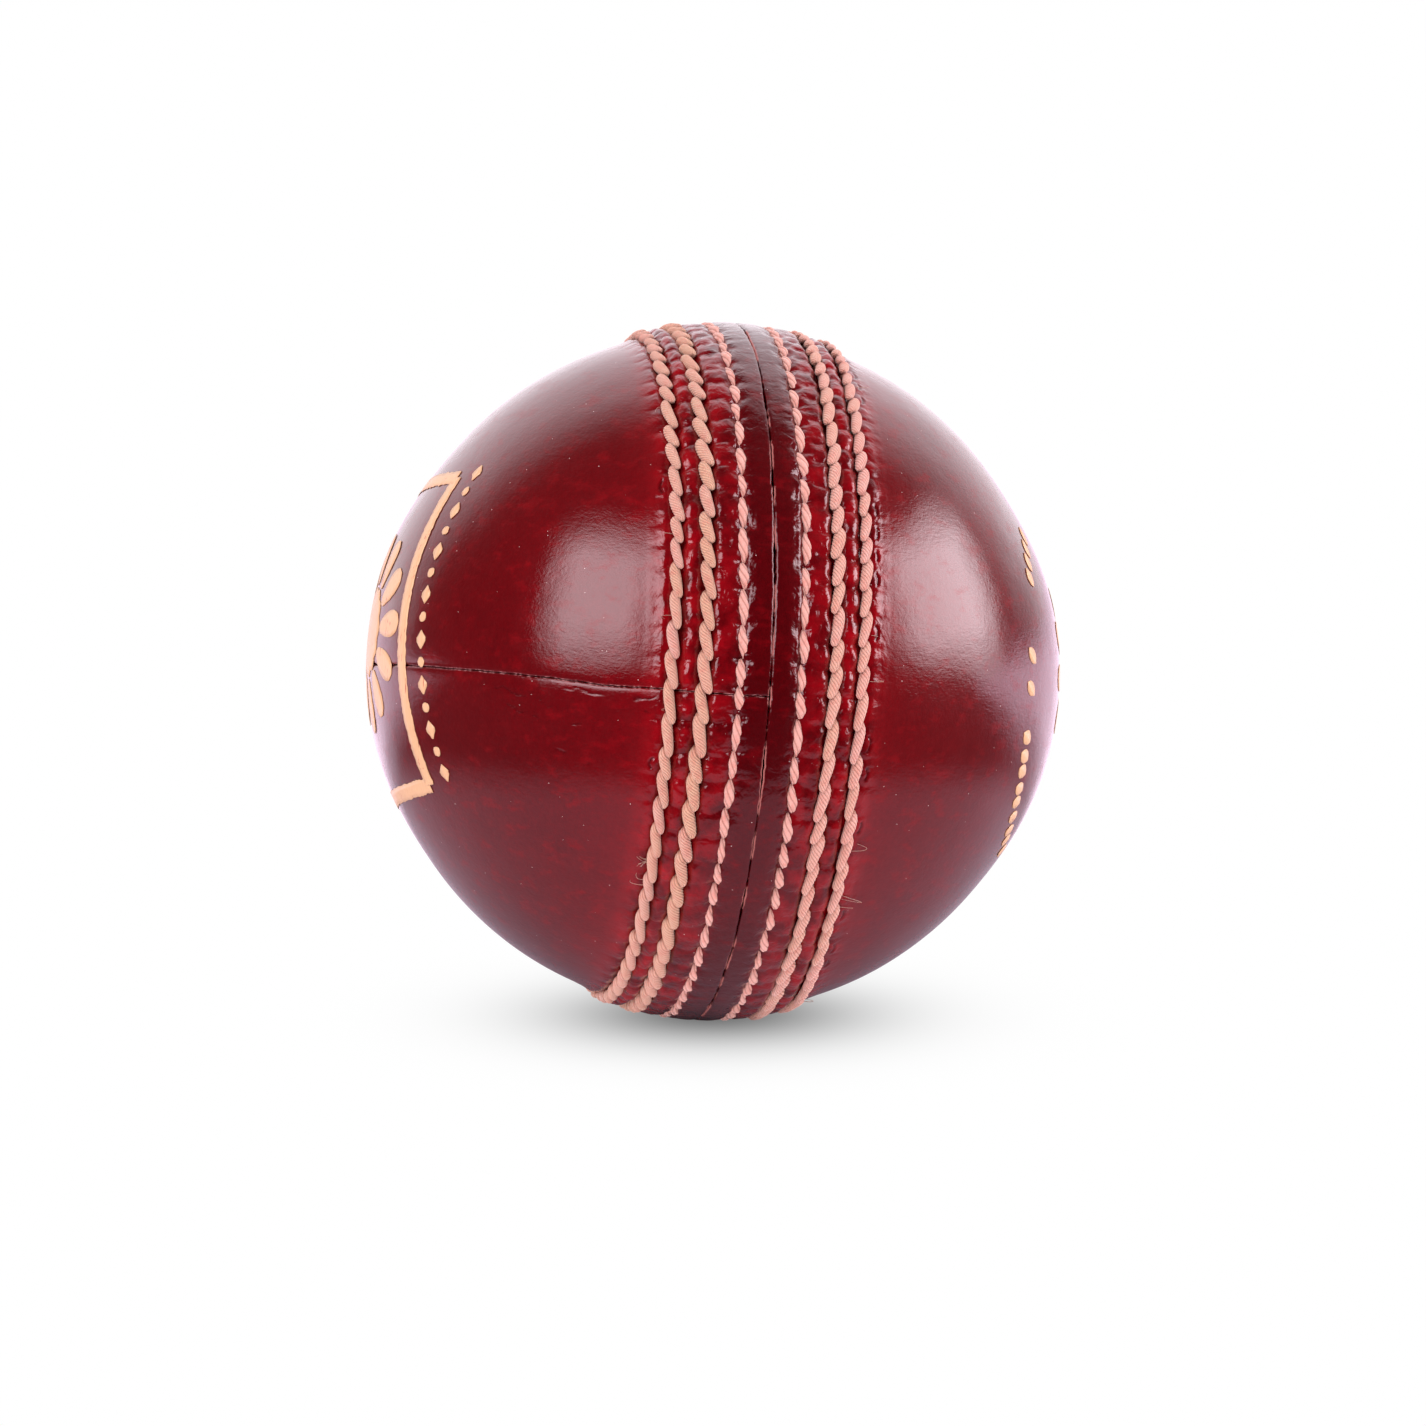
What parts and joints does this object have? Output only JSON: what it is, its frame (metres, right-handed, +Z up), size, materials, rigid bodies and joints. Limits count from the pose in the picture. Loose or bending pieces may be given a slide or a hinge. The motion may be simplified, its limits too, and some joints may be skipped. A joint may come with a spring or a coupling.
{
  "type": "cricket ball",
  "caption": "Hand-stitched leather cricket ball: a cork and yarn core in quartered red leather cups, closed at a raised seam between rows of pale thread.",
  "frame": {"origin": "centre of the ball", "axes": "+Z up; +X along the ball's axis, through the two stamped poles, so the seam lies in the YZ plane; +Y away from the viewer. The left cup is on the -X side and its quarter seam lies in the XY plane; the right cup is on the +X side and its quarter seam lies in the XZ plane."},
  "size_m": [0.0722, 0.0726, 0.0726],
  "materials": {
    "red_leather": "dark red aniline leather under a clear glossy lacquer",
    "linen_thread": "waxed plied linen thread, pale peach",
    "lining_leather": "undyed flesh-side leather, matt",
    "cork": "sliced cork, matt",
    "cork_rubber": "moulded cork and rubber crumb, matt",
    "yarn": "wound worsted yarn, matt",
    "gold_foil": "thin gold-coloured stamping foil, satin, a little worn"
  },
  "bodies": {
    "root": {"closing_thread": "linen_thread", "core_nucleus": "cork_rubber", "cork_strip_1a": "cork", "cork_strip_1b": "cork", "cork_strip_1c": "cork", "cork_strip_1d": "cork", "cork_strip_2a": "cork", "cork_strip_2b": "cork", "cork_strip_2c": "cork", "cork_strip_2d": "cork", "cork_strip_3a": "cork", "cork_strip_3b": "cork", "cork_strip_3c": "cork", "cork_strip_3d": "cork", "cork_strip_4a": "cork", "cork_strip_4b": "cork", "cork_strip_4c": "cork", "cork_strip_4d": "cork", "left_inner_stitch_row": "linen_thread", "left_lower_leather_quarter": "red_leather", "left_outer_stitch_row": "linen_thread", "left_pole_foil": "gold_foil", "left_quarter_backing_strip": "lining_leather", "left_quarter_seam_thread": "linen_thread", "left_upper_leather_quarter": "red_leather", "right_back_leather_quarter": "red_leather", "right_front_leather_quarter": "red_leather", "right_inner_stitch_row": "linen_thread", "right_outer_stitch_row": "linen_thread", "right_pole_foil": "gold_foil", "right_quarter_backing_strip": "lining_leather", "right_quarter_seam_thread": "linen_thread", "seam_packing_ring": "lining_leather", "yarn_wrap_1": "yarn", "yarn_wrap_2": "yarn", "yarn_wrap_3": "yarn", "yarn_wrap_4": "yarn"}
  },
  "joints": []
}
